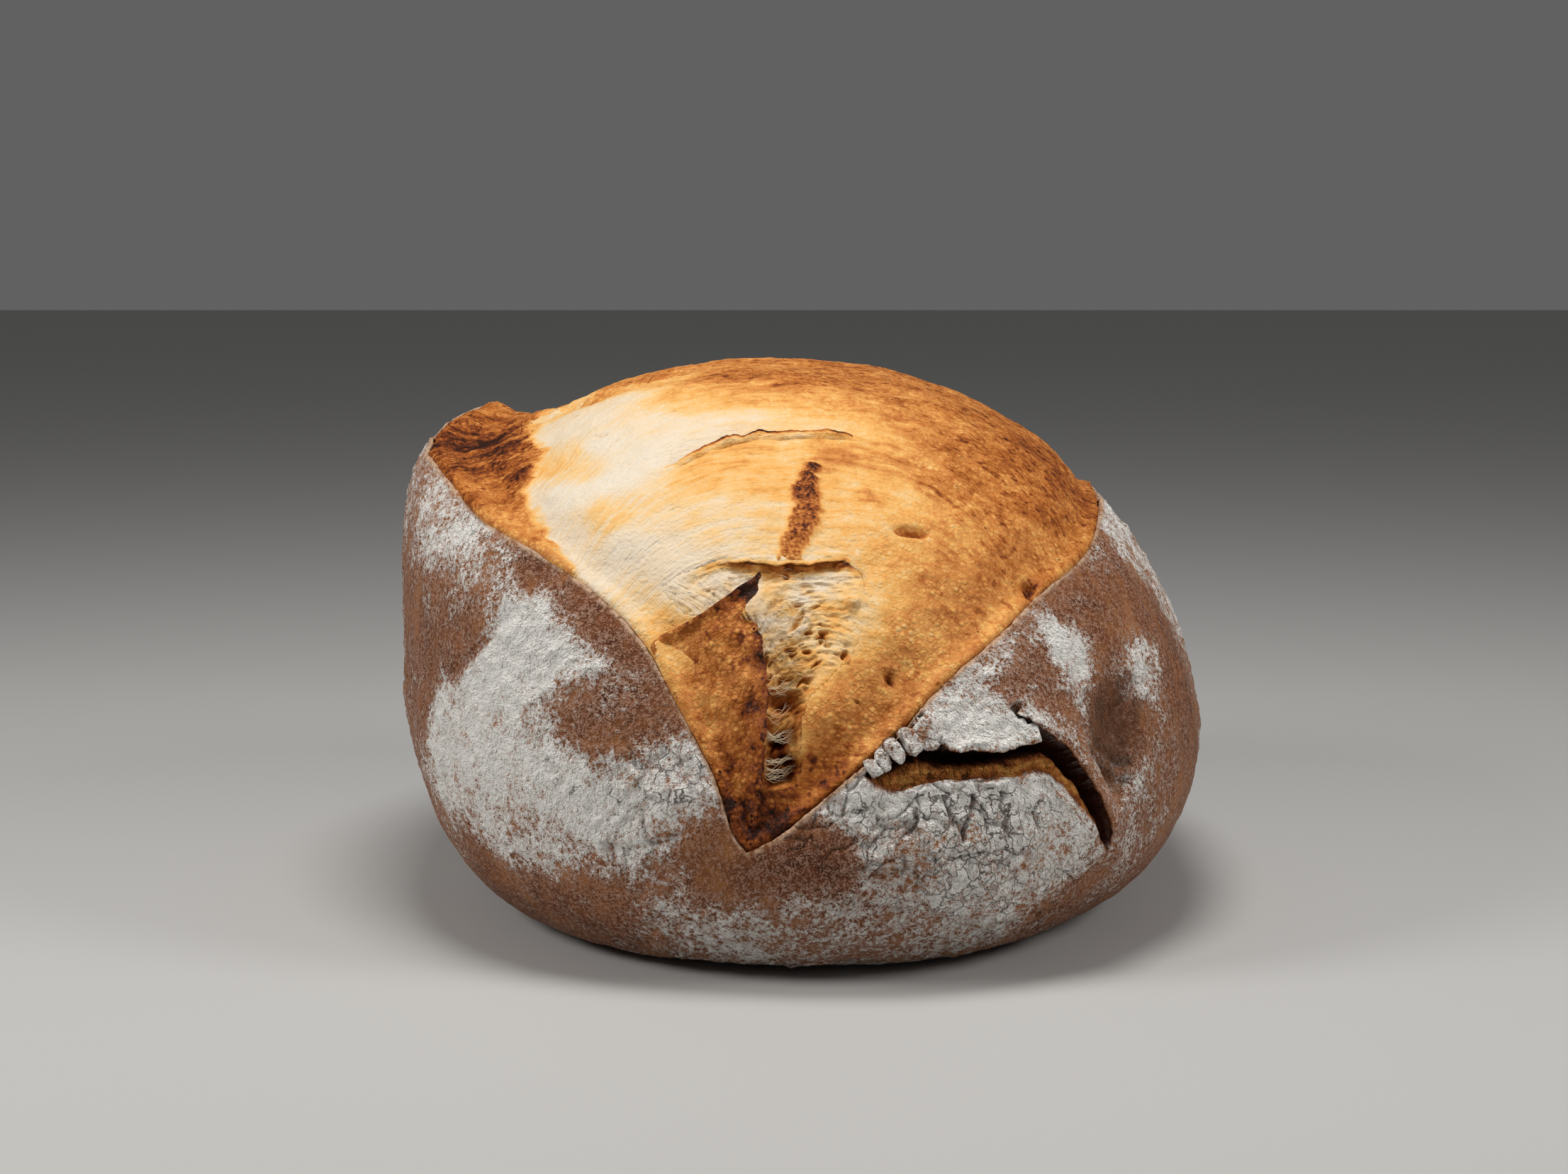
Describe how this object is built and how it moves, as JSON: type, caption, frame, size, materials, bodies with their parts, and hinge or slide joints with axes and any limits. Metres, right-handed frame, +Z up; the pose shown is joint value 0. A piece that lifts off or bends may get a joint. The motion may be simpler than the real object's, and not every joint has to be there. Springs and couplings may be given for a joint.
{
  "type": "sourdough loaf",
  "caption": "Oval hearth-baked sourdough loaf whose floured crust has split open, with crumb burst up from the split into a rounded crown.",
  "frame": {"origin": "centre of the loaf's plan outline, on the surface that it rests on", "axes": "+X to the loaf's right, +Y along the loaf away from the end whose split is widest open, +Z up"},
  "size_m": [0.172, 0.2274, 0.1112],
  "materials": {
    "crust": "baked brown crust dusted unevenly with pale flour, dry and matte",
    "crumb": "burst crumb skin, cream to golden and orange brown, with a faint sheen on fine blisters"
  },
  "bodies": {
    "root": {"loaf": "crust"}
  },
  "joints": []
}
